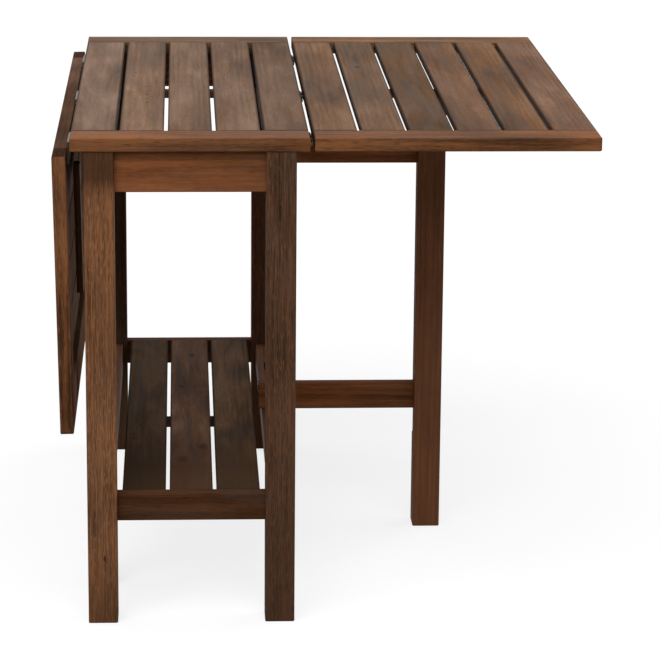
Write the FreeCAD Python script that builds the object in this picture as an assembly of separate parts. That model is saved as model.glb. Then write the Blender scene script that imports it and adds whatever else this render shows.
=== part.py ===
import FreeCAD, Part
import os

# Gateleg garden table in stained hardwood, as it stands with one leaf up.
# A narrow slatted top sits on four legs with a slatted shelf low between them.
# A slatted leaf hangs on three butt hinges along each long edge of the top.
# Under each leaf a gate, one leg on two rails, turns on upright pivot pins.
# The right gate is swung out under its raised leaf, the left one is folded away.
# X runs across the table, Y along it away from the front, Z up from the floor.
# Pieces are drawn about the middle of the fixed frame and shifted at the end,
# so that the origin lies on the floor under the middle of the whole outline.

V = FreeCAD.Vector
UP = V(0, 0, 1)
AXES = {"x": V(1, 0, 0), "y": V(0, 1, 0), "z": UP}
SIDES = {"left": -1, "right": 1}
ENDS = {"front": -1, "rear": 1}

# Driving dimensions in millimetres and degrees

# Slatted top and leaves
TABLE_HEIGHT = 740.0
TOP_LENGTH = 940.0
TOP_THICK = 20.0  # end rails and the slats along the edges
SLAT_THICK = 12.5  # slats between the edge slats
SLAT_WIDTH = 64.75
SLAT_GAP = 5.75
TOP_SLATS = 5
LEAF_SLATS = 6
LEAF_GAP = 7.0  # between the top's edge and the leaf's
END_RAIL_WIDTH = 62.0
BATTEN_WIDTH = 28.0
BATTEN_THICK = 10.5
LEAF_CORNER = 5.0  # plan radius of a leaf's two outer corners
HANG_LEAN = 1.0  # the hanging leaf leans in past upright

# Legs, aprons and long rails
LEG_SIZE = 44.0
TOP_OVERHANG_SIDE = 19.0
TOP_OVERHANG_END = 2.5
RAIL_THICK = 22.0
APRON_HEIGHT = 62.0
SIDE_APRON_HEIGHT = 66.0
SIDE_RAIL_INSET = 7.5  # from a leg's inner face to the long rail's inner face
SIDE_RAIL_HEIGHT = 42.0
SIDE_RAIL_BOTTOM = 154.0

# Shelf
SHELF_HEIGHT = 200.0
SHELF_RAIL_HEIGHT = 42.0
SHELF_SLATS = 3
SHELF_SLAT_THICK = 18.0
SHELF_BATTEN_WIDTH = 33.0
SHELF_BATTEN_THICK = 10.0

# Gates
GATE_REACH = 238.0  # pivot to the near face of the gate's leg
GATE_RAIL_HEIGHT = 43.0
GATE_RAIL_TAIL = 17.0  # rail past the pivot
GATE_RAIL_RECESS = 20.0  # leg's front face to the rails' front face
PIVOT_OFFSET = 11.0  # pivot from the middle of the table's length
PIVOT_RADIUS = 4.0
PIVOT_DEPTH = 18.0  # pin in each piece that it joins
PIVOT_GAP = 2.0  # height kept free between gate rails and frame
COLLAR_RADIUS = 9.0

# Hinges
HINGES = 3
HINGE_INSET = 115.0  # middle of an outer hinge from the end of the top
HINGE_LENGTH = 75.0
HINGE_DROP = 3.0  # pin's axis below the underside of the top
KNUCKLES = 5
KNUCKLE_RADIUS = 3.5
PIN_RADIUS = 1.6
PLATE_WIDTH = 30.0
PLATE_THICK = 2.0
PLATE_SCREW_SPACING = 50.0
PLATE_SCREW_OFFSET = 18.0  # screw line from the pin's axis

# Wood screws with countersunk heads
SCREW_RADIUS = 1.8
SCREW_HEAD_RADIUS = 3.4
SCREW_HEAD_HEIGHT = 1.6
SCREW_POINT = 4.0
PLATE_SCREW_LENGTH = 14.0
BATTEN_SCREW_LENGTH = 18.0
BATTEN_SCREW_INSET = 15.0  # end screws from the batten's ends

# Joinery and clearances
EDGE_ROUND = 2.0
END_EASE_SHARE = 0.7  # end chamfer as a share of the edge rounding
TENON_THICK = 10.0
TENON_SHOULDER = 7.0
TENON_WEB = 2.0  # wood left between two mortises that pass in a leg
LEG_STUB_SIZE = 16.0  # stub tenon that holds the top on a leg
LEG_STUB_HEIGHT = 9.0
GATE_TENON_LENGTH = 24.0
SLAT_TENON_LENGTH = 14.0
SLAT_TENON_THICK = 6.0
SLAT_TENON_SHOULDER = 6.0
MORTISE_SPARE = 1.0  # a mortise is this much deeper than its tenon
RUNNING_CLEAR = 0.05  # radial, between a pin and the piece that turns on it
PIVOT_PLAY = 0.2  # gate rail to the collar beside it
KNUCKLE_PLAY = 0.3
HALVING_CLEAR = 1.0  # gate leg to the long rail, where each is halved to let the other in
LEAF_REST_GAP = 0.3  # gate leg to the batten of the leaf above it
SAME_PLACE = 0.000001  # coordinates closer than this count as equal

# Worked out from the driving dimensions

SLAT_PITCH = SLAT_WIDTH + SLAT_GAP
TOP_WIDTH = TOP_SLATS * SLAT_PITCH - SLAT_GAP
TOP_UNDERSIDE = TABLE_HEIGHT - TOP_THICK
SLAT_UNDERSIDE = TABLE_HEIGHT - SLAT_THICK
BATTEN_UNDERSIDE = SLAT_UNDERSIDE - BATTEN_THICK
PANEL_SHOULDER = TOP_LENGTH / 2 - END_RAIL_WIDTH

LEG_OUTER_X = TOP_WIDTH / 2 - TOP_OVERHANG_SIDE
LEG_INNER_X = LEG_OUTER_X - LEG_SIZE
LEG_OUTER_Y = TOP_LENGTH / 2 - TOP_OVERHANG_END
LEG_INNER_Y = LEG_OUTER_Y - LEG_SIZE
LEG_MIDDLE_X = LEG_OUTER_X - LEG_SIZE / 2
LEG_MIDDLE_Y = LEG_OUTER_Y - LEG_SIZE / 2
LONG_RAIL_X = LEG_INNER_X + SIDE_RAIL_INSET + RAIL_THICK / 2
TENON_LENGTH = LEG_SIZE / 2 - TENON_THICK / 2 - MORTISE_SPARE - TENON_WEB

APRON_Z = (TOP_UNDERSIDE - APRON_HEIGHT, TOP_UNDERSIDE)
SIDE_APRON_Z = (TOP_UNDERSIDE - SIDE_APRON_HEIGHT, TOP_UNDERSIDE)
SIDE_RAIL_Z = (SIDE_RAIL_BOTTOM, SIDE_RAIL_BOTTOM + SIDE_RAIL_HEIGHT)
SHELF_RAIL_Z = (SHELF_HEIGHT - SHELF_RAIL_HEIGHT, SHELF_HEIGHT)
SHELF_SHOULDER = LEG_MIDDLE_Y - RAIL_THICK / 2

UPPER_GATE_RAIL_TOP = SIDE_APRON_Z[0] - PIVOT_GAP
LOWER_GATE_RAIL_BOTTOM = SIDE_RAIL_Z[1] + PIVOT_GAP
GATE_LEG_TOP = BATTEN_UNDERSIDE - LEAF_REST_GAP
FOLDED_LEG_Y = (PIVOT_OFFSET + GATE_REACH, PIVOT_OFFSET + GATE_REACH + LEG_SIZE)

HINGE_X = TOP_WIDTH / 2 + LEAF_GAP / 2
HINGE_Z = TOP_UNDERSIDE - HINGE_DROP
HINGE_REACH = TOP_LENGTH / 2 - HINGE_INSET
HINGE_ROWS = [HINGE_REACH * (2 * i / (HINGES - 1) - 1) for i in range(HINGES)]


# Ranges and simple forms

def span(centre, width):
    """Range of a width about a centre."""
    return (centre - width / 2, centre + width / 2)


def inset(limits, margin):
    """Range drawn in by a margin at both ends."""
    return (limits[0] + margin, limits[1] - margin)


def flip(limits, sign):
    """Range given for the positive side, mirrored where sign is -1."""
    return tuple(sorted(sign * value for value in limits))


def middle(limits):
    """Middle of a range."""
    return (limits[0] + limits[1]) / 2


def block(x, y, z):
    """Square-edged block between three ranges."""
    return Part.makeBox(x[1] - x[0], y[1] - y[0], z[1] - z[0], V(x[0], y[0], z[0]))


def edges_along(shape, axis):
    """Straight edges that run along an axis."""
    return [edge for edge in shape.Edges if abs(edge.Curve.Direction.dot(AXES[axis])) > 0.5]


def edges_at(shape, axis, value):
    """Edges that lie in the plane where one coordinate has a value."""
    found = []
    for edge in shape.Edges:
        points = [edge.CenterOfMass] + [vertex.Point for vertex in edge.Vertexes]
        if all(abs(getattr(point, axis) - value) < SAME_PLACE for point in points):
            found.append(edge)
    return found


def board(grain, x, y, z):
    """Board with its four long edges rounded along the grain."""
    raw = block(x, y, z)
    return raw.makeFillet(EDGE_ROUND, edges_along(raw, grain))


def eased_end(shape, axis, value):
    """Board with a small chamfer round its cut end."""
    return shape.makeChamfer(EDGE_ROUND * END_EASE_SHARE, edges_at(shape, axis, value))


def joined(first, others):
    """Pieces of one solid fused, with the seams between flush faces taken out."""
    return first.fuse(others).removeSplitter()


def rod(radius, start, direction, length):
    """Round rod from a point."""
    return Part.makeCylinder(radius, length, start, direction)


def screw(point, direction, length):
    """Countersunk wood screw turned from its half profile, head face at the point."""
    profile = [
        V(0, 0, 0),
        V(SCREW_HEAD_RADIUS, 0, 0),
        V(SCREW_RADIUS, 0, SCREW_HEAD_HEIGHT),
        V(SCREW_RADIUS, 0, length - SCREW_POINT),
        V(0, 0, length),
        V(0, 0, 0),
    ]
    turned = Part.Face(Part.makePolygon(profile)).revolve(V(0, 0, 0), UP, 360)
    turned.Placement = FreeCAD.Placement(point, FreeCAD.Rotation(UP, direction))
    return turned


# Slatted panels: the top, both leaves and the shelf

def slat_columns(start, count):
    """X ranges of slats laid side by side from a start."""
    return [(start + i * SLAT_PITCH, start + i * SLAT_PITCH + SLAT_WIDTH) for i in range(count)]


def slat_tenon(column, shoulder, z_middle, extra=0.0):
    """Block through a slat whose ends are its two tenons, or its mortises where extra is given."""
    half = shoulder + SLAT_TENON_LENGTH + extra
    return block(inset(column, SLAT_TENON_SHOULDER), (-half, half), span(z_middle, SLAT_TENON_THICK))


def slat(column, shoulder, top, thick, tenon_z):
    """Slat along the table with a tenon at both ends."""
    plank = board("y", column, (-shoulder, shoulder), (top - thick, top))
    return joined(plank, [slat_tenon(column, shoulder, tenon_z)])


def end_rail(width, end, round_outer_x):
    """End rail of a panel, rounded above and below, with its outer corner rounded where x is given."""
    y_outer = end * TOP_LENGTH / 2
    rail = block(width, flip((PANEL_SHOULDER, TOP_LENGTH / 2), end), (TOP_UNDERSIDE, TABLE_HEIGHT))
    if round_outer_x is not None:
        upright = [edge for edge in edges_at(rail, "x", round_outer_x)
                   if abs(edge.CenterOfMass.y - y_outer) < SAME_PLACE]
        rail = rail.makeFillet(LEAF_CORNER, upright)
    rims = edges_at(rail, "z", TABLE_HEIGHT) + edges_at(rail, "z", TOP_UNDERSIDE)
    return rail.makeFillet(EDGE_ROUND, rims)


def batten_screws(batten_x, columns, z_head):
    """Screws up through a batten, one in each slat that it ties."""
    places = [batten_x[0] + BATTEN_SCREW_INSET]
    places += [middle(column) for column in columns[1:-1]]
    places += [batten_x[1] - BATTEN_SCREW_INSET]
    return [screw(V(x, 0, z_head), UP, BATTEN_SCREW_LENGTH) for x in places]


def batten(columns, width, z):
    """Batten from the middle of the first slat that it ties to the middle of the last, with screws."""
    x = sorted((middle(columns[0]), middle(columns[-1])))
    screws = batten_screws(x, columns, z[0])
    strip = board("x", x, span(0, width), z)
    return strip.cut(screws), screws


def panel(name, columns, round_outer_x=None):
    """Slatted panel level with the top: end rails, tenoned slats, batten and the batten's screws."""
    tenon_z = TABLE_HEIGHT - SLAT_THICK / 2
    width = (min(column[0] for column in columns), max(column[1] for column in columns))
    mortises = [slat_tenon(column, PANEL_SHOULDER, tenon_z, MORTISE_SPARE) for column in columns]
    strip, screws = batten(columns[1:-1], BATTEN_WIDTH, (BATTEN_UNDERSIDE, SLAT_UNDERSIDE))
    parts = {}
    for end_name, end in ENDS.items():
        rail = end_rail(width, end, round_outer_x)
        parts["%s_rail_%s" % (name, end_name)] = rail.cut(mortises)
    for i, column in enumerate(columns):
        edge_slat = i in (0, len(columns) - 1)
        thick = TOP_THICK if edge_slat else SLAT_THICK
        plank = slat(column, PANEL_SHOULDER, TABLE_HEIGHT, thick, tenon_z)
        parts["%s_slat_%d" % (name, i + 1)] = plank if edge_slat else plank.cut(screws)
    parts["%s_batten" % name] = strip
    return parts, screws


# Butt hinges under the edges of the top

def hinge_plate(side, row, on_leaf):
    """One plate of a butt hinge with its rolled knuckles, drawn with the leaf level."""
    x = side * HINGE_X
    reach = side if on_leaf else -side
    pitch = HINGE_LENGTH / KNUCKLES
    start = row - HINGE_LENGTH / 2
    across = sorted((x, x + reach * PLATE_WIDTH))
    plate = block(across, span(row, HINGE_LENGTH), (TOP_UNDERSIDE - PLATE_THICK, TOP_UNDERSIDE))
    knuckles = []
    gaps = []
    for i in range(KNUCKLES):
        y = start + i * pitch
        if (i % 2 == 1) == on_leaf:
            length = pitch - KNUCKLE_PLAY
            knuckles.append(rod(KNUCKLE_RADIUS, V(x, y + KNUCKLE_PLAY / 2, HINGE_Z), AXES["y"], length))
        else:
            room = KNUCKLE_RADIUS + KNUCKLE_PLAY
            z = (HINGE_Z - room, TOP_UNDERSIDE + room)
            gaps.append(block(span(x, 2 * room), (y - KNUCKLE_PLAY / 2, y + pitch + KNUCKLE_PLAY / 2), z))
    bore_radius = PIN_RADIUS + RUNNING_CLEAR if on_leaf else PIN_RADIUS
    bore = rod(bore_radius, V(x, start, HINGE_Z), AXES["y"], HINGE_LENGTH)
    rolled = joined(plate.cut(gaps), knuckles)
    return rolled.cut([bore] + plate_screws(side, row, on_leaf))


def plate_screws(side, row, on_leaf):
    """Screws up through one hinge plate into the edge slat above it."""
    reach = side if on_leaf else -side
    x = side * HINGE_X + reach * PLATE_SCREW_OFFSET
    z = TOP_UNDERSIDE - PLATE_THICK
    return [screw(V(x, y, z), UP, PLATE_SCREW_LENGTH) for y in span(row, PLATE_SCREW_SPACING)]


def hinge_plates(side, on_leaf):
    """All the plates on one side of a row of hinges, and their screws."""
    plates = [hinge_plate(side, row, on_leaf) for row in HINGE_ROWS]
    screws = [item for row in HINGE_ROWS for item in plate_screws(side, row, on_leaf)]
    return plates, screws


def hinge_pins(side):
    """Pins of one row of hinges, tight in the fixed plates."""
    start = V(side * HINGE_X, -HINGE_LENGTH / 2, HINGE_Z)
    return [rod(PIN_RADIUS, start + V(0, row, 0), AXES["y"], HINGE_LENGTH) for row in HINGE_ROWS]


# Fixed frame

def cross_tenon(end, z, extra=0.0):
    """Block through a cross rail whose ends are its tenons, or their mortises where extra is given."""
    half = LEG_INNER_X + TENON_LENGTH + extra
    return block((-half, half), span(end * LEG_MIDDLE_Y, TENON_THICK), inset(z, TENON_SHOULDER))


def long_tenon(side, z, extra=0.0):
    """Block through a long rail whose ends are its tenons, or their mortises where extra is given."""
    half = LEG_INNER_Y + TENON_LENGTH + extra
    return block(span(side * LONG_RAIL_X, TENON_THICK), (-half, half), inset(z, TENON_SHOULDER))


def cross_rail(end, z):
    """Rail from leg to leg across one end of the frame."""
    rail = board("x", (-LEG_INNER_X, LEG_INNER_X), span(end * LEG_MIDDLE_Y, RAIL_THICK), z)
    return joined(rail, [cross_tenon(end, z)])


def leg_housing(side, z):
    """Notch in the outer half of a long rail, where the leg of the folded gate lies."""
    x = flip((LONG_RAIL_X, LONG_RAIL_X + RAIL_THICK), side)
    y = flip(inset(FOLDED_LEG_Y, -HALVING_CLEAR), side)
    return block(x, y, z)


def long_rail(side, z):
    """Rail from leg to leg along one side of the frame, halved for the folded gate's leg."""
    rail = board("y", span(side * LONG_RAIL_X, RAIL_THICK), (-LEG_INNER_Y, LEG_INNER_Y), z)
    return joined(rail, [long_tenon(side, z)]).cut(leg_housing(side, z))


def leg_stub(side, end, extra=0.0):
    """Stub tenon on top of a leg, or its mortise in the end rail where extra is given."""
    x = span(side * LEG_MIDDLE_X, LEG_STUB_SIZE)
    y = span(end * LEG_MIDDLE_Y, LEG_STUB_SIZE)
    return block(x, y, (TOP_UNDERSIDE, TOP_UNDERSIDE + LEG_STUB_HEIGHT + extra))


def leg(side, end):
    """Square leg with eased foot, a stub tenon on top and a mortise for each rail."""
    x = flip((LEG_INNER_X, LEG_OUTER_X), side)
    y = flip((LEG_INNER_Y, LEG_OUTER_Y), end)
    post = eased_end(board("z", x, y, (0.0, TOP_UNDERSIDE)), "z", 0.0)
    mortises = [cross_tenon(end, z, MORTISE_SPARE) for z in (APRON_Z, SHELF_RAIL_Z)]
    mortises += [long_tenon(side, z, MORTISE_SPARE) for z in (SIDE_APRON_Z, SIDE_RAIL_Z)]
    return joined(post.cut(mortises), [leg_stub(side, end)])


def shelf():
    """Slatted shelf: slats tenoned into the two shelf rails, tied by a batten."""
    columns = slat_columns(SLAT_GAP / 2 - SHELF_SLATS * SLAT_PITCH / 2, SHELF_SLATS)
    tenon_z = SHELF_HEIGHT - SHELF_SLAT_THICK / 2
    underside = SHELF_HEIGHT - SHELF_SLAT_THICK
    mortises = [slat_tenon(column, SHELF_SHOULDER, tenon_z, MORTISE_SPARE) for column in columns]
    strip, screws = batten(columns, SHELF_BATTEN_WIDTH, (underside - SHELF_BATTEN_THICK, underside))
    parts = {}
    for end_name, end in ENDS.items():
        parts["shelf_rail_%s" % end_name] = cross_rail(end, SHELF_RAIL_Z).cut(mortises)
    for i, column in enumerate(columns):
        plank = slat(column, SHELF_SHOULDER, SHELF_HEIGHT, SHELF_SLAT_THICK, tenon_z)
        parts["shelf_slat_%d" % (i + 1)] = plank.cut(screws)
    parts["shelf_batten"] = strip
    return parts, screws


def pivot_pins(side):
    """Collared pins that a gate turns on, one up into the side apron and one down into the long rail."""
    x = side * LONG_RAIL_X
    y = side * PIVOT_OFFSET
    pins = []
    for seat, away in ((SIDE_APRON_Z[0], UP), (SIDE_RAIL_Z[1], -UP)):
        foot = V(x, y, seat)
        shank = rod(PIVOT_RADIUS, foot + away * PIVOT_DEPTH, -away, 2 * PIVOT_DEPTH + PIVOT_GAP)
        collar = rod(COLLAR_RADIUS, foot, -away, PIVOT_GAP - PIVOT_PLAY)
        pins.append(joined(shank, [collar]))
    return pins


def frame():
    """Everything that stays still: top, legs, aprons, rails, shelf, fixed hinge plates and pins."""
    columns = slat_columns(-TOP_WIDTH / 2, TOP_SLATS)
    parts, screws = panel("top", columns)
    shelf_parts, shelf_screws = shelf()
    parts.update(shelf_parts)
    screws += shelf_screws
    for end_name, end in ENDS.items():
        stubs = [leg_stub(side, end, MORTISE_SPARE) for side in SIDES.values()]
        rail_name = "top_rail_%s" % end_name
        parts[rail_name] = parts[rail_name].cut(stubs)
        parts["apron_%s" % end_name] = cross_rail(end, APRON_Z)
        for side_name, side in SIDES.items():
            parts["leg_%s_%s" % (end_name, side_name)] = leg(side, end)
    edge_slats = {"left": "top_slat_1", "right": "top_slat_%d" % TOP_SLATS}
    for name, side in SIDES.items():
        edge_slat = edge_slats[name]
        pins = pivot_pins(side)
        plates, side_screws = hinge_plates(side, on_leaf=False)
        parts["side_apron_%s" % name] = long_rail(side, SIDE_APRON_Z).cut(pins)
        parts["lower_side_rail_%s" % name] = long_rail(side, SIDE_RAIL_Z).cut(pins)
        parts["%s_gate_pivot_pins" % name] = Part.makeCompound(pins)
        parts["%s_hinge_fixed_plates" % name] = Part.makeCompound(plates)
        parts["%s_hinge_pins" % name] = Part.makeCompound(hinge_pins(side))
        parts[edge_slat] = parts[edge_slat].cut(side_screws)
        screws += side_screws
    parts["frame_screws"] = Part.makeCompound(screws)
    return parts


# Leaves

def leaf(side_name):
    """Leaf drawn level with the top, slats counted outwards, with its hinge plates and screws."""
    name = "%s_leaf" % side_name
    side = SIDES[side_name]
    columns = slat_columns(TOP_WIDTH / 2 + LEAF_GAP, LEAF_SLATS)
    outer_x = side * columns[-1][1]
    parts, screws = panel(name, [flip(column, side) for column in columns], outer_x)
    plates, side_screws = hinge_plates(side, on_leaf=True)
    hinge_slat = "%s_slat_1" % name
    parts[hinge_slat] = parts[hinge_slat].cut(side_screws)
    parts["%s_hinge_plates" % name] = Part.makeCompound(plates)
    parts["%s_screws" % name] = Part.makeCompound(screws + side_screws)
    return parts


# Gates

def gate():
    """Right-hand gate swung out square to the table: halved leg, two tenoned rails with pin bores."""
    rail_y = span(PIVOT_OFFSET, RAIL_THICK)
    leg_x = (LONG_RAIL_X + GATE_REACH, LONG_RAIL_X + GATE_REACH + LEG_SIZE)
    leg_y = (rail_y[0] - GATE_RAIL_RECESS, rail_y[0] - GATE_RAIL_RECESS + LEG_SIZE)
    post = eased_end(board("z", leg_x, leg_y, (0.0, GATE_LEG_TOP)), "z", 0.0)
    halving_y = (PIVOT_OFFSET - HALVING_CLEAR, leg_y[1])
    lower_halving = (SIDE_RAIL_Z[0] - PIVOT_GAP, LOWER_GATE_RAIL_BOTTOM)
    upper_halving = (UPPER_GATE_RAIL_TOP, GATE_LEG_TOP)
    cuts = [block(leg_x, halving_y, z) for z in (lower_halving, upper_halving)]
    rails = {
        "lower_rail": (LOWER_GATE_RAIL_BOTTOM, LOWER_GATE_RAIL_BOTTOM + GATE_RAIL_HEIGHT),
        "upper_rail": (UPPER_GATE_RAIL_TOP - GATE_RAIL_HEIGHT, UPPER_GATE_RAIL_TOP),
    }
    bore_radius = PIVOT_RADIUS + RUNNING_CLEAR
    bore_depth = PIVOT_DEPTH + MORTISE_SPARE
    bores = [
        rod(bore_radius, V(LONG_RAIL_X, PIVOT_OFFSET, LOWER_GATE_RAIL_BOTTOM), UP, bore_depth),
        rod(bore_radius, V(LONG_RAIL_X, PIVOT_OFFSET, UPPER_GATE_RAIL_TOP), -UP, bore_depth),
    ]
    parts = {}
    tail = LONG_RAIL_X - GATE_RAIL_TAIL
    for name, z in rails.items():
        tenon_y = span(PIVOT_OFFSET, TENON_THICK)
        tenon_x = (LONG_RAIL_X, leg_x[0] + GATE_TENON_LENGTH)
        tenon_z = inset(z, TENON_SHOULDER)
        rail = eased_end(board("x", (tail, leg_x[0]), rail_y, z), "x", tail)
        parts[name] = joined(rail, [block(tenon_x, tenon_y, tenon_z)]).cut(bores)
        cuts.append(block((leg_x[0], tenon_x[1] + MORTISE_SPARE), tenon_y, tenon_z))
    parts["leg"] = post.cut(cuts)
    return parts


# Assembly

def turned(parts, point, axis, angle):
    """Pieces turned together about an axis through a point."""
    for shape in parts.values():
        shape.rotate(point, axis, angle)
    return parts


def table():
    """All pieces as the table stands: right leaf up on its gate, left leaf hanging."""
    parts = frame()
    parts.update(leaf("right"))
    hinge_line = V(-HINGE_X, 0, HINGE_Z)
    parts.update(turned(leaf("left"), hinge_line, AXES["y"], -90 - HANG_LEAN))
    right_gate = gate()
    left_gate = turned(gate(), V(0, 0, 0), UP, 180)
    left_pivot = V(-LONG_RAIL_X, -PIVOT_OFFSET, 0)
    left_gate = turned(left_gate, left_pivot, UP, 90)
    for side_name, pieces in (("right", right_gate), ("left", left_gate)):
        for name, shape in pieces.items():
            parts["%s_gate_%s" % (side_name, name)] = shape
    return parts


def main():
    """Put the origin under the middle of the table's outline and write one file for each piece."""
    parts = table()
    outline = Part.makeCompound(list(parts.values())).optimalBoundingBox(False, False)
    to_origin = V(-outline.Center.x, -outline.Center.y, -outline.ZMin)
    os.makedirs("parts", exist_ok=True)
    for name, shape in parts.items():
        shape.translate(to_origin)
        shape.exportStep("parts/%s.step" % name)
    print("%d nodes, frame middle at x = %.3f mm" % (len(parts), to_origin.x))
    print("outline %.2f x %.2f x %.2f mm" % (outline.XLength, outline.YLength, outline.ZLength))


main()
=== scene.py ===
import math

import bmesh
import bpy
import numpy as np
from mathutils import Matrix, Vector


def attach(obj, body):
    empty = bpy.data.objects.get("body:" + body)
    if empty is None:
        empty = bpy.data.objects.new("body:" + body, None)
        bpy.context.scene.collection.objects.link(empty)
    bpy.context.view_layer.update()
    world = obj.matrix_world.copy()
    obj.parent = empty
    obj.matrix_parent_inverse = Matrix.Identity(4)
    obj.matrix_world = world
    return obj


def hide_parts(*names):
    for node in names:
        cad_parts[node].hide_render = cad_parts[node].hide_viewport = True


# Gateleg garden table in brown stained hardwood.
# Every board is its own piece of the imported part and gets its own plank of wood:
# the grain runs along the board, and each board is cut from another place in the log.

MM = 0.001
HANG_TURN = Matrix.Rotation(math.radians(-91), 3, "Y")  # from level to the hanging left leaf

# Camera of the photograph, fitted to the straight edges of the table

PHOTO_SIZE = 660
FOCAL_PIXELS = 2928.65
SENSOR_WIDTH = 36.0
CAMERA_PLACE = (-0.21115, -4.62112, 1.54017)
CAMERA_YAW = math.radians(2.9821)
CAMERA_PITCH = math.radians(14.6409)
CAMERA_ROLL = math.radians(-0.5079)
CAMERA_SIGHT = 200.0  # metres, past the far edge of the floor

# Studio

FLOOR_HALF = 60.0
FLOOR_GREY = "#868686"
FLOOR_GLOW = 0.77
FILL_LIGHT = 0.09
# Each softbox: strength, height, turn from the front and width in degrees, and whether gloss shows it
SOFTBOXES = {
    "front_softbox": (3.0, 48.0, -15.0, 60.0, True),
    "right_softbox": (1.9, 18.0, 108.0, 70.0, False),
    "left_softbox": (1.3, 20.0, -125.0, 70.0, False),
}

# Middle tone of each board. Boards from different logs take the stain differently; the left rear leg's tone
# also holds painted shade, and the upper right gate rail's painted light.

BOARD_TONES = {
    "top_slat_1": "#69503e", "top_slat_2": "#71543e", "top_slat_3": "#644a36",
    "top_slat_4": "#664b37", "top_slat_5": "#5c422e",
    "top_rail_front": "#5f3a1f", "top_rail_rear": "#59402a", "top_batten": "#5a3a26",
    "right_leaf_slat_1": "#65472f", "right_leaf_slat_2": "#5d422c", "right_leaf_slat_3": "#4f3419",
    "right_leaf_slat_4": "#5f3f26", "right_leaf_slat_5": "#664325", "right_leaf_slat_6": "#694933",
    "right_leaf_rail_front": "#633e24", "right_leaf_rail_rear": "#725033", "right_leaf_batten": "#5a3a26",
    "left_leaf_slat_1": "#694a37", "left_leaf_slat_2": "#654838", "left_leaf_slat_3": "#604331",
    "left_leaf_slat_4": "#624431", "left_leaf_slat_5": "#5c4130", "left_leaf_slat_6": "#664633",
    "left_leaf_rail_front": "#603c23", "left_leaf_rail_rear": "#70482f", "left_leaf_batten": "#5a3a26",
    "apron_front": "#764627", "apron_rear": "#6e452b",
    "side_apron_left": "#643f29", "side_apron_right": "#683f27",
    "leg_front_left": "#6c472d", "leg_front_right": "#503625",
    # The left rear leg is darker than its neighbours: partly painted shade
    "leg_rear_left": "#4a3322", "leg_rear_right": "#64402a",
    "lower_side_rail_left": "#5e3b26", "lower_side_rail_right": "#5a3824",
    "shelf_rail_front": "#412716", "shelf_rail_rear": "#563623", "shelf_batten": "#4a3020",
    "shelf_slat_1": "#50371f", "shelf_slat_2": "#6b4932", "shelf_slat_3": "#5f432b",
    # The upper right gate rail is lighter than its neighbours: partly painted light
    "right_gate_leg": "#815338", "right_gate_lower_rail": "#673c21", "right_gate_upper_rail": "#8c5433",
    "left_gate_leg": "#5a3b28", "left_gate_lower_rail": "#583723", "left_gate_upper_rail": "#5a3622",
}

GREYED_WOOD = "#5e5047"

# How the wood shows: the share of each pattern in its lights and darks, its greyed patches, rubbed edges,
# painted shade on its sides, dark joints, how pale its light grain is, and how much the oil still shines.
# A dark foot or head is its share, and how far from that end, in millimetres, it starts and is full.
# On the gate leg and the shelf slats the dark foot is painted shade.

NO_DARK_END = (0.0, 0.0, 0.0)
PLAIN_LOOK = {
    "broad": 0.5, "clouds": 0.7, "streaks": 0.9, "fibres": 0.8, "rings": 0.3, "pores": 0.4, "flecks": 0.3,
    "greying": 0.15, "rubbed": 0.3, "painted_side_shade": 0.0, "dark_joints": 0.0, "bleach": 0.0,
    "dark_foot": NO_DARK_END, "dark_head": NO_DARK_END, "shine": 0.07, "roughness": 0.62,
}

# What differs by kind of piece. Every kind that is found in a board's name holds, later ones last.

KIND_LOOKS = {
    "_slat_": {"broad": 1.3, "clouds": 1.5, "streaks": 0.6, "fibres": 0.5, "rings": 0.15, "flecks": 0.15,
               "greying": 0.3, "rubbed": 0.0, "painted_side_shade": 0.8, "dark_joints": 0.3, "bleach": 0.25,
               "shine": 0.05},
    "top_slat_1": {"dark_joints": 0.9},
    "top_slat_5": {"dark_joints": 0.9},
    "leaf_slat_1": {"dark_joints": 0.9},
    "left_leaf_slat": {"painted_side_shade": 0.35, "shine": 0.02, "roughness": 0.8},
    # The shelf slats' dark foot is painted shade on their front ends, under the apron
    "shelf_slat": {"broad": 1.7, "clouds": 2.6, "streaks": 1.2, "dark_joints": 0.0,
                   "dark_foot": (0.9, 340.0, 130.0), "shine": 0.02},
    "shelf_rail": {"rubbed": 0.9, "shine": 0.03},
    "top_rail": {"broad": 1.5, "clouds": 2.0, "fibres": 1.2, "pores": 0.7, "flecks": 0.6, "shine": 0.1},
    "leaf_rail": {"broad": 1.5, "clouds": 2.0, "fibres": 1.2, "pores": 0.7, "flecks": 0.6, "shine": 0.055},
    "leg": {"clouds": 0.9, "streaks": 0.5, "fibres": 1.3, "rings": 0.15, "flecks": 0.7,
            "dark_foot": (0.39, 330.0, 0.0)},
    "leg_front": {"fibres": 1.9, "flecks": 1.0},
    "leg_front_left": {"dark_foot": (0.55, 120.0, 20.0), "dark_head": (0.8, 75.0, 48.0)},
    "leg_front_right": {"dark_foot": (0.55, 520.0, 100.0)},
    "left_leaf_rail": {"fibres": 1.8, "flecks": 0.9},
    "right_gate": {"shine": 0.03},
    # The gate leg's dark foot is painted shade on its lower part, which the leaf's shadow leaves lit
    "right_gate_leg": {"broad": 0.3, "clouds": 0.5, "streaks": 0.3, "fibres": 0.6, "pores": 0.2,
                       "flecks": 0.2, "dark_foot": (0.5, 610.0, 150.0)},
    "apron_front": {"streaks": 0.6, "fibres": 0.6, "rings": 0.2},
}

# Knots: place along the grain and across it from the board's middle, and width, in millimetres

KNOTS = {
    "shelf_slat_2": ((-285.0, -12.0, 13.0), (-217.0, 18.0, 11.0), (130.0, -14.0, 7.0), (330.0, 4.0, 8.0)),
    "leg_front_left": ((-262.0, 3.0, 3.5),),
    "top_slat_2": ((-179.0, 6.0, 3.5), (-109.0, 5.5, 3.5), (-82.0, -18.0, 2.5), (-37.0, 5.0, 3.0),
                   (95.0, -16.0, 2.5)),
    "right_leaf_slat_2": ((150.0, -6.0, 7.0),),
}


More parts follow.
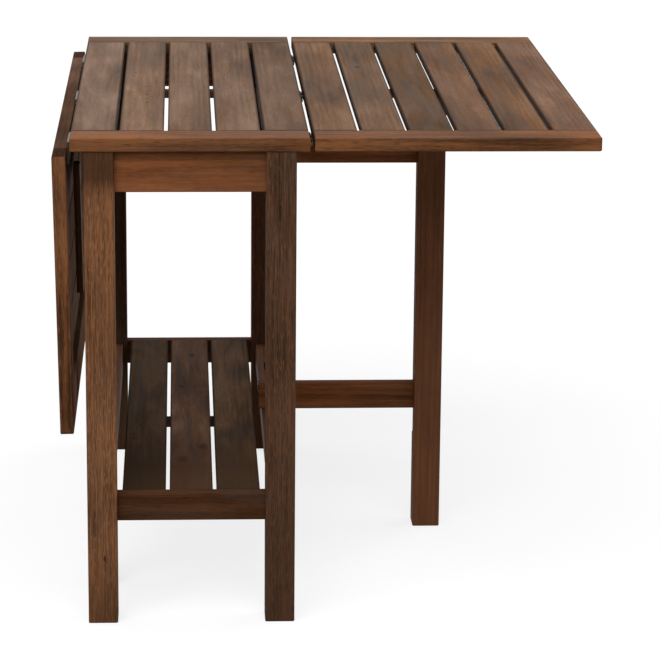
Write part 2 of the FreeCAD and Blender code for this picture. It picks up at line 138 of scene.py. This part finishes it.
def linear(hex_colour, gain=1.0):
    """Linear RGBA of an sRGB hex colour, times a gain."""
    shown = np.array([int(hex_colour[i:i + 2], 16) for i in (1, 3, 5)]) / 255.0
    light = np.where(shown <= 0.04045, shown / 12.92, ((shown + 0.055) / 1.055) ** 2.4)
    return tuple(np.minimum(light * gain, 1.0)) + (1.0,)


def add_node(tree, kind, inputs=None, **settings):
    """Add a node, set its properties, and set or link its inputs; a socket given as value is linked."""
    node = tree.nodes.new(kind)
    for name, value in settings.items():
        setattr(node, name, value)
    for key, value in (inputs or {}).items():
        if isinstance(value, bpy.types.NodeSocket):
            tree.links.new(value, node.inputs[key])
        else:
            node.inputs[key].default_value = value
    return node


def new_material(name):
    """Empty material and its node tree."""
    material = bpy.data.materials.new(name)
    material.use_nodes = True
    material.node_tree.nodes.clear()
    return material, material.node_tree


# Wood

# Oiled hardwood, sawn, planed and stained: long fine fibres, short dark pores, wavy growth bands
# and cloudy patches where the stain took unevenly. The oil leaves a soft dull shine.

# Noises of the grain: width across it in millimetres, how many times longer they run along it, detail,
# roughness and distortion. Flecks are fibres that the stain missed. Real fibres and pores are about 0.3 mm
# wide; these and the flecks are drawn wider so that they show.
GRAIN_NOISES = {
    "fibres": (1.9, 30.0, 3.0, 0.6, 0.6),
    "streaks": (9.0, 22.0, 4.0, 0.55, 0.5),
    "clouds": (34.0, 6.0, 4.0, 0.55, 0.9),
    "broad": (110.0, 2.5, 1.0, 0.5, 0.0),
    "pores": (1.0, 20.0, 0.0, 0.5, 0.0),
    "flecks": (1.2, 11.0, 1.0, 0.5, 0.0),
}
LOG_STEP = (0.61, 0.173, 0.347)  # metres in the log from one board's place to the next

# Growth rings, and how a board lies to the pith, the middle of its log
RING_SPACING = 8.0 * MM
RING_STRETCH = 9.0
RING_WAVES = {"Distortion": 6.0, "Detail": 2.0, "Detail Scale": 0.6, "Detail Roughness": 0.5}
WAVE_PERIOD = math.tau / 20  # a wave texture of scale 1 has this ring spacing in metres
PITH_DEPTH = 35.0 * MM
PITH_SPREAD = 20.0 * MM
PITH_LEAN = 0.03  # radians off the grain in the board's thickness
PITH_SKEW = 0.02  # and in its width
PITH_STEPS = (2.1, 1.7, 1.0, 1.3)  # from board to board: turns, in radians, that vary these four

# Knots
KNOT_LENGTH = 2.2  # how much longer than wide a knot's swirl is
SWIRL_REACH = 2.4  # reach of the swirl in knot widths
SWIRL_PUSH = (0.02, -0.85, 0.0)  # how far places move in it, as shares of their offset from the knot
HEART_CORE = 0.2  # wholly dark part of a knot, as a share of its width

# Where in a pattern's range from 0 to 1 each mark starts and is full
PORE_RANGE = (0.60, 0.74)
FLECK_RANGE = (0.72, 0.90)
FLECK_GATHER = 0.35  # how much flecks gather in the light parts of the broad pattern
GREY_RANGE = (0.42, 0.62)
RUBBED_RANGE = (0.38, 0.60)
CLOUD_RANGE = (0.3, 0.7)  # most of a cloudy noise lies between these
CUT_END_RANGE = (0.6, 0.95)  # share of a face's direction that lies along the grain
CUT_END_SHARE = 0.95

# Lights and darks are the sum of these patterns, whose middle is that of the ramp from dark to light
SHADE_PATTERNS = ("broad", "clouds", "streaks", "fibres", "rings")
MIDDLE = 0.5

# Tones as shares of the board's middle tone
DARK_GRAIN = 0.35
LIGHT_GRAIN = 1.9
PORE_TONE = 0.3
FLECK_TONE = 1.8
KNOT_TONE = 0.28
CUT_END_TONES = (0.16, 0.34)  # between and on the growth rings
RUBBED_TONE = 1.6
# Painted shade on slat sides, and dirt in their joints
SIDE_SHADE_AND_DIRT_TONE = 0.2
# Dark ends; on the gate leg and the shelf slats these are painted shade
DARK_END_AND_SHADE_TONE = 0.3

# How far in from a board's edges, sides and joints wear, painted side shade and joint dirt start, and where
# they are full
EDGE_WEAR_WIDTH = 2.6 * MM
EDGE_WEAR_FULL = 0.5 * MM
SIDE_SHADE_WIDTH = 3.2 * MM
SIDE_SHADE_FULL = 1.5 * MM
SLAT_SHOULDER = 408.0 * MM  # from a slat's middle to the end rail
JOINT_LINE_WIDTH = 6.0 * MM
JOINT_LINE_FULL = 2.5 * MM

# Surface
OIL_UNEVEN = 0.07  # roughness lost and gained where the oil lies thick and thin
PORE_SINK = -0.6  # depth of pores against the height of fibres
RELIEF_HEIGHT = 0.3 * MM
RELIEF_STRENGTH = 0.3
WOOD_IOR = 1.5


def knot_swirls(tree, board_place, knots):
    """Place in the board with its fibres bent round the knots, and how far it is in a knot's dark heart.

    Near a knot, a place moves by a share of its offset from the knot, which fades out at the swirl's reach.
    """
    flow, hearts = board_place, None
    for along, across, size in knots:
        offset = add_node(tree, "ShaderNodeVectorMath", {
            0: board_place, 1: (along * MM, across * MM, 0.0)}, operation="SUBTRACT").outputs["Vector"]
        flat = add_node(tree, "ShaderNodeVectorMath", {
            0: offset, 1: (1 / KNOT_LENGTH, 1.0, 0.0)}, operation="MULTIPLY").outputs["Vector"]
        distance = add_node(tree, "ShaderNodeVectorMath", {0: flat}, operation="LENGTH").outputs["Value"]
        near = add_node(tree, "ShaderNodeMapRange", {
            "Value": distance, "From Max": SWIRL_REACH * size * MM, "To Min": 1.0, "To Max": 0.0,
        }, interpolation_type="SMOOTHSTEP").outputs["Result"]
        part = add_node(tree, "ShaderNodeVectorMath", {
            0: offset, 1: SWIRL_PUSH}, operation="MULTIPLY").outputs["Vector"]
        push = add_node(tree, "ShaderNodeVectorMath", {
            0: part, "Scale": near}, operation="SCALE").outputs["Vector"]
        flow = add_node(tree, "ShaderNodeVectorMath", {0: flow, 1: push}).outputs["Vector"]
        heart = add_node(tree, "ShaderNodeMapRange", {
            "Value": distance, "From Min": HEART_CORE * size * MM, "From Max": size * MM,
            "To Min": 1.0, "To Max": 0.0,
        }, interpolation_type="SMOOTHSTEP").outputs["Result"]
        hearts = heart if hearts is None else add_node(
            tree, "ShaderNodeMath", {0: hearts, 1: heart}, operation="MAXIMUM").outputs["Value"]
    return flow, hearts


def grain_patterns(tree, flow, seed):
    """Outputs of the grain's noises and growth rings, at the board's own place in its log."""
    shift = [step * seed for step in LOG_STEP]
    patterns = {}
    for pattern, (width, stretch, detail, roughness, distortion) in GRAIN_NOISES.items():
        place = add_node(tree, "ShaderNodeMapping", {
            "Vector": flow, "Location": shift, "Scale": (1 / stretch, 1, 1)}).outputs["Vector"]
        patterns[pattern] = add_node(tree, "ShaderNodeTexNoise", {
            "Vector": place, "Scale": 1 / (width * MM), "Detail": detail, "Roughness": roughness,
            "Distortion": distortion,
        }).outputs
    side, depth, lean, skew = (step * seed for step in PITH_STEPS)
    pith_place = add_node(tree, "ShaderNodeMapping", {
        "Vector": flow,
        "Location": (0.0, PITH_SPREAD * math.sin(side), PITH_DEPTH + PITH_SPREAD * math.cos(depth)),
        "Rotation": (0.0, PITH_LEAN * math.sin(lean), PITH_SKEW * math.cos(skew)),
        "Scale": (1 / RING_STRETCH, 1, 1),
    }).outputs["Vector"]
    patterns["rings"] = add_node(tree, "ShaderNodeTexWave", {
        "Vector": pith_place, "Scale": WAVE_PERIOD / RING_SPACING, **RING_WAVES,
    }, wave_type="RINGS", rings_direction="X").outputs
    return patterns


def grain_colour(tree, patterns, look):
    """Dark to light wood by the sum of the patterns, each times its share in the look."""
    value = MIDDLE - MIDDLE * sum(look[pattern] for pattern in SHADE_PATTERNS)
    for pattern in SHADE_PATTERNS:
        value = add_node(tree, "ShaderNodeMath", {
            0: patterns[pattern]["Fac"], 1: look[pattern], 2: value,
        }, operation="MULTIPLY_ADD").outputs["Value"]
    ramp = add_node(tree, "ShaderNodeValToRGB", {"Fac": value})
    stops = ramp.color_ramp.elements
    stops[0].position, stops[0].color = 0.0, linear(look["tone"], DARK_GRAIN)
    light = np.array(linear(look["tone"], LIGHT_GRAIN))
    stops[1].position, stops[1].color = 1.0, light + look["bleach"] * (light[:3].mean() - light)
    stops.new(MIDDLE).color = linear(look["tone"])
    return ramp.outputs["Color"]


def grain_marks(tree, patterns, look):
    """Shares of greyed patches, dark pores and light flecks."""
    patches = add_node(tree, "ShaderNodeSeparateColor", {"Color": patterns["clouds"]["Color"]}).outputs
    gathered = add_node(tree, "ShaderNodeMath", {
        0: patterns["broad"]["Fac"], 1: FLECK_GATHER, 2: patterns["flecks"]["Fac"],
    }, operation="MULTIPLY_ADD").outputs["Value"]
    marks = (
        (patches["Green"], GREY_RANGE, look["greying"]),
        (patterns["pores"]["Fac"], PORE_RANGE, look["pores"]),
        (gathered, FLECK_RANGE, look["flecks"]),
    )
    return [
        add_node(tree, "ShaderNodeMapRange", {
            "Value": value, "From Min": start, "From Max": full, "To Max": share}).outputs["Result"]
        for value, (start, full), share in marks
    ]


def wear_side_shade_and_dirt(tree, sides, half, streaks, look):
    """Share rubbed off the edges, here and there, and share of painted shade on slat sides and of dirt in
    joints.

    Painted shade darkens the gaps between slats, on their sides and rounded edges; dirt stays in the joints
    where they meet the end rails.
    """
    to_edge = []
    for axis, size in (("Y", half[1]), ("Z", half[2])):
        out = add_node(tree, "ShaderNodeMath", {0: sides[axis]}, operation="ABSOLUTE").outputs["Value"]
        to_edge.append(add_node(tree, "ShaderNodeMath", {0: out, 1: size},
                                operation="SUBTRACT").outputs["Value"])
    corner = add_node(tree, "ShaderNodeMath", {0: to_edge[0], 1: to_edge[1]},
                      operation="MINIMUM").outputs["Value"]
    edge = add_node(tree, "ShaderNodeMapRange", {
        "Value": corner, "From Min": -EDGE_WEAR_WIDTH, "From Max": -EDGE_WEAR_FULL}).outputs["Result"]
    handled = add_node(tree, "ShaderNodeMapRange", {
        "Value": streaks, "From Min": RUBBED_RANGE[0], "From Max": RUBBED_RANGE[1], "To Max": look["rubbed"],
    }).outputs["Result"]
    wear = add_node(tree, "ShaderNodeMath", {0: edge, 1: handled}, operation="MULTIPLY").outputs["Value"]
    # Painted shade on the slats' sides and rounded edges, in the gaps between them
    side = add_node(tree, "ShaderNodeMapRange", {
        "Value": to_edge[0], "From Min": -SIDE_SHADE_WIDTH, "From Max": -SIDE_SHADE_FULL,
        "To Max": look["painted_side_shade"],
    }).outputs["Result"]
    along = add_node(tree, "ShaderNodeMath", {0: sides["X"]}, operation="ABSOLUTE").outputs["Value"]
    joint = add_node(tree, "ShaderNodeMapRange", {
        "Value": along, "From Min": SLAT_SHOULDER - JOINT_LINE_WIDTH,
        "From Max": SLAT_SHOULDER - JOINT_LINE_FULL, "To Max": look["dark_joints"],
    }).outputs["Result"]
    side_shade_and_joint_dirt = add_node(tree, "ShaderNodeMath", {0: side, 1: joint}, operation="MAXIMUM").outputs["Value"]
    return wear, side_shade_and_joint_dirt


def dark_ends_and_painted_shade(tree, sides, half, look):
    """Shares of a board's dark foot and head: painted shade on the gate leg and shelf slats, darker ends on
    the other legs.
    """
    return [
        add_node(tree, "ShaderNodeMapRange", {
            "Value": sides["X"], "From Min": end * (half[0] - start * MM),
            "From Max": end * (half[0] - full * MM), "To Max": share,
        }).outputs["Result"]
        for end, (share, start, full) in ((-1, look["dark_foot"]), (1, look["dark_head"]))
        if share > 0
    ]


def plank(name, place, axes, half, seed, look):
    """Material of one board: axes are its grain, width and thickness directions as matrix columns."""
    material, tree = new_material("stained_hardwood_" + name)
    tone = look["tone"]
    texture_place = add_node(tree, "ShaderNodeTexCoord").outputs
    board_place = add_node(tree, "ShaderNodeMapping", {
        "Vector": texture_place["Object"], "Location": place, "Rotation": axes.to_euler("XYZ"),
    }, vector_type="TEXTURE").outputs["Vector"]
    sides = add_node(tree, "ShaderNodeSeparateXYZ", {"Vector": board_place}).outputs
    flow, hearts = knot_swirls(tree, board_place, look["knots"])
    patterns = grain_patterns(tree, flow, seed)
    greyed, pores, flecks = grain_marks(tree, patterns, look)
    wear, side_shade_and_joint_dirt = wear_side_shade_and_dirt(tree, sides, half, patterns["streaks"]["Fac"], look)

    # Cut ends drink more stain and show the growth rings
    grain_part = add_node(tree, "ShaderNodeVectorMath", {
        0: texture_place["Normal"], 1: axes.col[0]}, operation="DOT_PRODUCT").outputs["Value"]
    end_part = add_node(tree, "ShaderNodeMath", {0: grain_part}, operation="ABSOLUTE").outputs["Value"]
    cut_end = add_node(tree, "ShaderNodeMapRange", {
        "Value": end_part, "From Min": CUT_END_RANGE[0], "From Max": CUT_END_RANGE[1],
        "To Max": CUT_END_SHARE,
    }).outputs["Result"]
    cut_rings = add_node(tree, "ShaderNodeMix", {
        0: patterns["rings"]["Fac"], 6: linear(tone, CUT_END_TONES[0]), 7: linear(tone, CUT_END_TONES[1]),
    }, data_type="RGBA").outputs[2]

    # Each stain and painted shade lies over the ones before it
    stains = [
        (greyed, linear(GREYED_WOOD)),
        (pores, linear(tone, PORE_TONE)),
        (flecks, linear(tone, FLECK_TONE)),
    ]
    if hearts is not None:
        stains.append((hearts, linear(tone, KNOT_TONE)))
    # Painted shade on the slats' sides, and dirt in their joints
    stains += [(cut_end, cut_rings), (wear, linear(tone, RUBBED_TONE)), (side_shade_and_joint_dirt, linear(tone, SIDE_SHADE_AND_DIRT_TONE))]
    # Dark ends: on the gate leg and the shelf slats, painted shade
    stains += [(share, linear(tone, DARK_END_AND_SHADE_TONE)) for share in dark_ends_and_painted_shade(tree, sides, half, look)]
    colour = grain_colour(tree, patterns, look)
    for share, stain in stains:
        colour = add_node(tree, "ShaderNodeMix", {0: share, 6: colour, 7: stain}, data_type="RGBA").outputs[2]

    # The oil shines a little unevenly, and not at all on the cut ends
    oiled = add_node(tree, "ShaderNodeMapRange", {
        "Value": patterns["clouds"]["Fac"], "From Min": CLOUD_RANGE[0], "From Max": CLOUD_RANGE[1],
        "To Min": look["roughness"] - OIL_UNEVEN, "To Max": look["roughness"] + OIL_UNEVEN,
    }).outputs["Result"]
    roughness = add_node(tree, "ShaderNodeMath", {0: oiled, 1: cut_end},
                         operation="MAXIMUM").outputs["Value"]
    height = add_node(tree, "ShaderNodeMath", {
        0: pores, 1: PORE_SINK, 2: patterns["fibres"]["Fac"]}, operation="MULTIPLY_ADD").outputs["Value"]
    relief = add_node(tree, "ShaderNodeBump", {
        "Height": height, "Strength": RELIEF_STRENGTH, "Distance": RELIEF_HEIGHT}).outputs["Normal"]
    surface = add_node(tree, "ShaderNodeBsdfPrincipled", {
        "Base Color": colour, "Roughness": roughness, "Normal": relief,
        "IOR": WOOD_IOR, "Specular IOR Level": look["shine"],
    })
    add_node(tree, "ShaderNodeOutputMaterial", {"Surface": surface.outputs["BSDF"]})
    return material


# Steel of hinges, pins and screws

# Pressed and turned steel, its yellow zinc coat gone dull and dark in small clouds: soft brownish gleams
STEEL_CLOUD_SIZE = 6.0 * MM
STEEL_TONES = ("#342d23", "#66583f")
STEEL_ROUGHNESS = (0.3, 0.48)


def yellow_zinc_steel():
    """Material of the metal pieces: colour and roughness go from dark to light by the clouds."""
    material, tree = new_material("yellow_zinc_steel")
    place = add_node(tree, "ShaderNodeTexCoord").outputs["Object"]
    clouds = add_node(tree, "ShaderNodeTexNoise", {
        "Vector": place, "Scale": 1 / STEEL_CLOUD_SIZE, "Detail": 4.0, "Roughness": 0.6,
    }).outputs["Fac"]
    colour = add_node(tree, "ShaderNodeMix", {
        0: clouds, 6: linear(STEEL_TONES[0]), 7: linear(STEEL_TONES[1]),
    }, data_type="RGBA").outputs[2]
    roughness = add_node(tree, "ShaderNodeMapRange", {
        "Value": clouds, "From Min": CLOUD_RANGE[0], "From Max": CLOUD_RANGE[1],
        "To Min": STEEL_ROUGHNESS[0], "To Max": STEEL_ROUGHNESS[1],
    }).outputs["Result"]
    surface = add_node(tree, "ShaderNodeBsdfPrincipled", {
        "Base Color": colour, "Metallic": 1.0, "Roughness": roughness,
    })
    add_node(tree, "ShaderNodeOutputMaterial", {"Surface": surface.outputs["BSDF"]})
    return material


# Wood screws

# Countersunk screws with a cross recess and a coarse rolled thread, in the places of the part's plain ones
SCREW_NODES = {"frame_screws": "frame", "left_leaf_screws": "left_leaf", "right_leaf_screws": "right_leaf"}
SCREW_REACH = 8.0 * MM  # points of one screw lie closer than this, with its length counted at a quarter
LENGTH_SHARE = 0.25
ROUND_POINTS = 40
SHANK_RADIUS = 1.8 * MM
HEAD_RIM = 0.12 * MM  # height of the head's upright rim
HEAD_HEIGHT = 1.6 * MM
POINT_LENGTH = 4.0 * MM
NECK_LENGTH = 1.2 * MM  # plain shank under the head
THREAD_PITCH = 2.0 * MM
THREAD_ROWS = 6  # rows of points in each turn of the thread
THREAD_CORE = 0.74  # core of the thread as a share of the shank's radius
RECESS_DEPTH = 1.1 * MM
RECESS_ARM = 0.25  # half width and reach of the recess's arms, as shares of the head's radius
RECESS_REACH = 0.62
RECESS_WALL = 0.15  # how far its walls slope
FACE_ROWS = (0.0, 0.1, 0.18, 0.24, 0.3, 0.38, 0.46, 0.54, 0.6, 0.66, 0.8, 0.96)
SAME_POINT = 0.001 * MM
SHARP_ANGLE = math.radians(35)


def screw_surface(head_radius, length):
    """One screw pointing up, head face at height 0, as rows of points from the face's middle to the tip.

    Face: radius times the face rows, sunk by a cross: two crossed slots whose walls slope and whose arms
    end at the recess's reach. Then the countersunk cone, a plain neck, and the thread: the radius swings
    between core and shank as a triangle wave of height / pitch minus turn, and tapers to the point.
    """
    turn = np.linspace(0.0, math.tau, ROUND_POINTS, endpoint=False)
    even = np.ones(ROUND_POINTS)
    share = np.array(FACE_ROWS)[:, None]
    across, up = np.abs(share * np.cos(turn)), np.abs(share * np.sin(turn))
    slot = np.clip((RECESS_ARM - np.minimum(across, up)) / RECESS_WALL, 0.0, 1.0)
    end = np.clip((RECESS_REACH - np.maximum(across, up)) / (2 * RECESS_WALL), 0.0, 1.0)
    face_height = RECESS_DEPTH * slot * end
    start = HEAD_HEIGHT + NECK_LENGTH
    collar_radius = np.array((head_radius, SHANK_RADIUS, SHANK_RADIUS))[:, None]
    collar_height = np.array((HEAD_RIM, HEAD_HEIGHT, start))[:, None]
    rows = int((length - start) / THREAD_PITCH * THREAD_ROWS)
    height = np.linspace(start, length, rows)[1:, None]
    wave = np.abs(2.0 * ((height / THREAD_PITCH - turn / math.tau) % 1.0) - 1.0)
    taper = np.clip((length - height) / POINT_LENGTH, 0.0, 1.0)
    thread_radius = SHANK_RADIUS * taper * (THREAD_CORE + (1.0 - THREAD_CORE) * wave)
    radius = np.concatenate((share * head_radius * even, collar_radius * even, thread_radius))
    heights = np.concatenate((face_height, collar_height * even, height * even))
    return np.stack((radius * np.cos(turn), radius * np.sin(turn), heights), axis=2)


def wood_screws(node, body, name, steel):
    """Screws in the places of a node's plain ones: points that lie close together are one screw."""
    turn = np.array(HANG_TURN) if body == "left_leaf" else np.eye(3)
    points = np.empty(len(node.data.vertices) * 3)
    node.data.vertices.foreach_get("co", points)
    points = np.unique(np.round(points.reshape(-1, 3) @ turn, 6), axis=0)
    spread = points * (1.0, 1.0, LENGTH_SHARE)
    gaps = sum((axis[:, None] - axis) ** 2 for axis in spread.T)
    first = (gaps < SCREW_REACH ** 2).argmax(axis=1)
    corners, quads, count = [], [], 0
    for label in np.unique(first):
        low, high = points[first == label].min(axis=0), points[first == label].max(axis=0)
        rows = screw_surface((high[0] - low[0]) / 2, high[2] - low[2])
        place = ((low[0] + high[0]) / 2, (low[1] + high[1]) / 2, low[2])
        corners.append((rows + place).reshape(-1, 3))
        index = count + np.arange(rows.shape[0] * ROUND_POINTS).reshape(-1, ROUND_POINTS)
        after = np.roll(index, -1, axis=1)
        quads.append(np.stack((index[:-1], index[1:], after[1:], after[:-1]), axis=2).reshape(-1, 4))
        count += index.size
    mesh = bpy.data.meshes.new(name)
    mesh.from_pydata((np.concatenate(corners) @ turn.T).tolist(), [], np.concatenate(quads).tolist())
    built = bmesh.new()
    built.from_mesh(mesh)
    bmesh.ops.remove_doubles(built, verts=built.verts, dist=SAME_POINT)
    bmesh.ops.recalc_face_normals(built, faces=built.faces)
    built.to_mesh(mesh)
    built.free()
    mesh.polygons.foreach_set("use_smooth", np.ones(len(mesh.polygons), bool))
    mesh.set_sharp_from_angle(angle=SHARP_ANGLE)
    mesh.materials.append(steel)
    screws = bpy.data.objects.new(name, mesh)
    bpy.context.scene.collection.objects.link(screws)
    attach(screws, body)
    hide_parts(node.name)


# Boards and how they lie

def board_axes(name):
    """Grain, width and thickness directions of a board as matrix columns, in the part's frame."""
    x, y, z = Vector((1, 0, 0)), Vector((0, 1, 0)), Vector((0, 0, 1))
    if "leg" in name:
        columns = (z, x, y)
    elif "slat" in name:
        columns = (y, x, z)
    elif name.startswith(("side_apron", "lower_side_rail", "left_gate")):
        columns = (y, z, x)
    elif name.startswith(("apron", "shelf_rail", "right_gate")):
        columns = (x, z, y)
    else:
        columns = (x, y, z)
    axes = Matrix(columns).transposed()
    if axes.determinant() < 0:
        axes = axes @ Matrix.Diagonal((1, 1, -1))
    if name.startswith("left_leaf"):
        axes = HANG_TURN @ axes
    return axes


def board_look(name):
    """The plain look with the board's own tone and knots and what its kinds change."""
    look = dict(PLAIN_LOOK, tone=BOARD_TONES[name], knots=KNOTS.get(name, ()))
    for kind, changes in KIND_LOOKS.items():
        if kind in name:
            look.update(changes)
    return look


def board_box(mesh, axes):
    """Middle of a board in the part's frame and its half sizes along its own axes."""
    points = np.empty(len(mesh.vertices) * 3)
    mesh.vertices.foreach_get("co", points)
    local = points.reshape(-1, 3) @ np.array(axes)
    low, high = local.min(axis=0), local.max(axis=0)
    return Vector(np.array(axes) @ ((low + high) / 2)), (high - low) / 2


def dress_nodes(nodes):
    """Give every board its own plank of wood, the metal pieces their steel, and the screws their thread."""
    steel = yellow_zinc_steel()
    for seed, name in enumerate(sorted(nodes), start=1):
        mesh = nodes[name].data
        if name in BOARD_TONES:
            axes = board_axes(name)
            place, half = board_box(mesh, axes)
            material = plank(name, place, axes, half, seed, board_look(name))
        else:
            material = steel
        mesh.materials.clear()
        mesh.materials.append(material)
    for name, body in SCREW_NODES.items():
        wood_screws(nodes[name], body, name.replace("screws", "wood_screws"), steel)


# Studio

def studio_rays(tree):
    """1 for rays that see the studio itself: from the camera, or by reflection or through glass."""
    rays = add_node(tree, "ShaderNodeLightPath").outputs
    seen = rays["Is Camera Ray"]
    for kind in ("Is Glossy Ray", "Is Transmission Ray"):
        seen = add_node(tree, "ShaderNodeMath", {0: seen, 1: rays[kind]},
                        operation="MAXIMUM").outputs["Value"]
    return seen


def build_floor():
    """Pale studio floor that keeps the shadow and shows as white where it is lit."""
    corners = FLOOR_HALF * np.array([(-1, -1, 0), (1, -1, 0), (1, 1, 0), (-1, 1, 0)], float)
    mesh = bpy.data.meshes.new("studio_floor")
    mesh.from_pydata(corners.tolist(), [], [(0, 1, 2, 3)])
    material, tree = new_material("pale_studio_floor")
    matt = add_node(tree, "ShaderNodeBsdfDiffuse", {"Color": linear(FLOOR_GREY)}).outputs["BSDF"]
    strength = add_node(tree, "ShaderNodeMath", {0: studio_rays(tree), 1: FLOOR_GLOW},
                        operation="MULTIPLY").outputs["Value"]
    glow = add_node(tree, "ShaderNodeEmission", {"Strength": strength}).outputs["Emission"]
    both = add_node(tree, "ShaderNodeAddShader", {0: matt, 1: glow}).outputs["Shader"]
    add_node(tree, "ShaderNodeOutputMaterial", {"Surface": both})
    mesh.materials.append(material)
    floor = bpy.data.objects.new("studio_floor", mesh)
    bpy.context.scene.collection.objects.link(floor)


def build_world():
    """White surroundings, which light the table only as a weak fill."""
    world = bpy.data.worlds.new("studio")
    world.use_nodes = True
    tree = world.node_tree
    tree.nodes.clear()
    strength = add_node(tree, "ShaderNodeMapRange", {
        "Value": studio_rays(tree), "To Min": FILL_LIGHT, "To Max": 1.0,
    }).outputs["Result"]
    light = add_node(tree, "ShaderNodeBackground", {"Strength": strength, "Color": (1, 1, 1, 1)})
    add_node(tree, "ShaderNodeOutputWorld", {"Surface": light.outputs["Background"]})
    bpy.context.scene.world = world


def build_softboxes():
    """Wide soft lights: a strong one from above the front and weaker, lower ones from the sides."""
    for name, (strength, height, turn, width, gloss) in SOFTBOXES.items():
        lamp = bpy.data.lights.new(name, "SUN")
        lamp.energy = strength
        lamp.angle = math.radians(width)
        light = bpy.data.objects.new(name, lamp)
        light.rotation_euler = (math.radians(90 - height), 0.0, math.radians(turn))
        light.visible_glossy = gloss
        bpy.context.scene.collection.objects.link(light)


def build_camera():
    """Camera at the photograph's place: turned by yaw, tipped by pitch, rolled about its line of sight."""
    lens = bpy.data.cameras.new("photo_camera")
    lens.sensor_width = SENSOR_WIDTH
    lens.lens = FOCAL_PIXELS * SENSOR_WIDTH / PHOTO_SIZE
    lens.clip_end = CAMERA_SIGHT
    camera = bpy.data.objects.new("photo_camera", lens)
    camera.matrix_world = (
        Matrix.Translation(CAMERA_PLACE)
        @ Matrix.Rotation(-CAMERA_YAW, 4, "Z")
        @ Matrix.Rotation(math.pi / 2 - CAMERA_PITCH, 4, "X")
        @ Matrix.Rotation(-CAMERA_ROLL, 4, "Z")
    )
    bpy.context.scene.collection.objects.link(camera)
    bpy.context.scene.camera = camera


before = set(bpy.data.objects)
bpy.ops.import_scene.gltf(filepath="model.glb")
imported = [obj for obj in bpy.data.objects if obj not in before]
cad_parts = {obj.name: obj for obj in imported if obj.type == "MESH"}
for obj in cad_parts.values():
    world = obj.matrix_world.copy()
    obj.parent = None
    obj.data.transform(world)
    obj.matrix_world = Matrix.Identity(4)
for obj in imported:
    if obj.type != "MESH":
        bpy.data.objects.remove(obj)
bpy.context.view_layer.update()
dress_nodes(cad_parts)
build_floor()
build_world()
build_softboxes()
build_camera()
bpy.context.scene.view_settings.view_transform = "Standard"
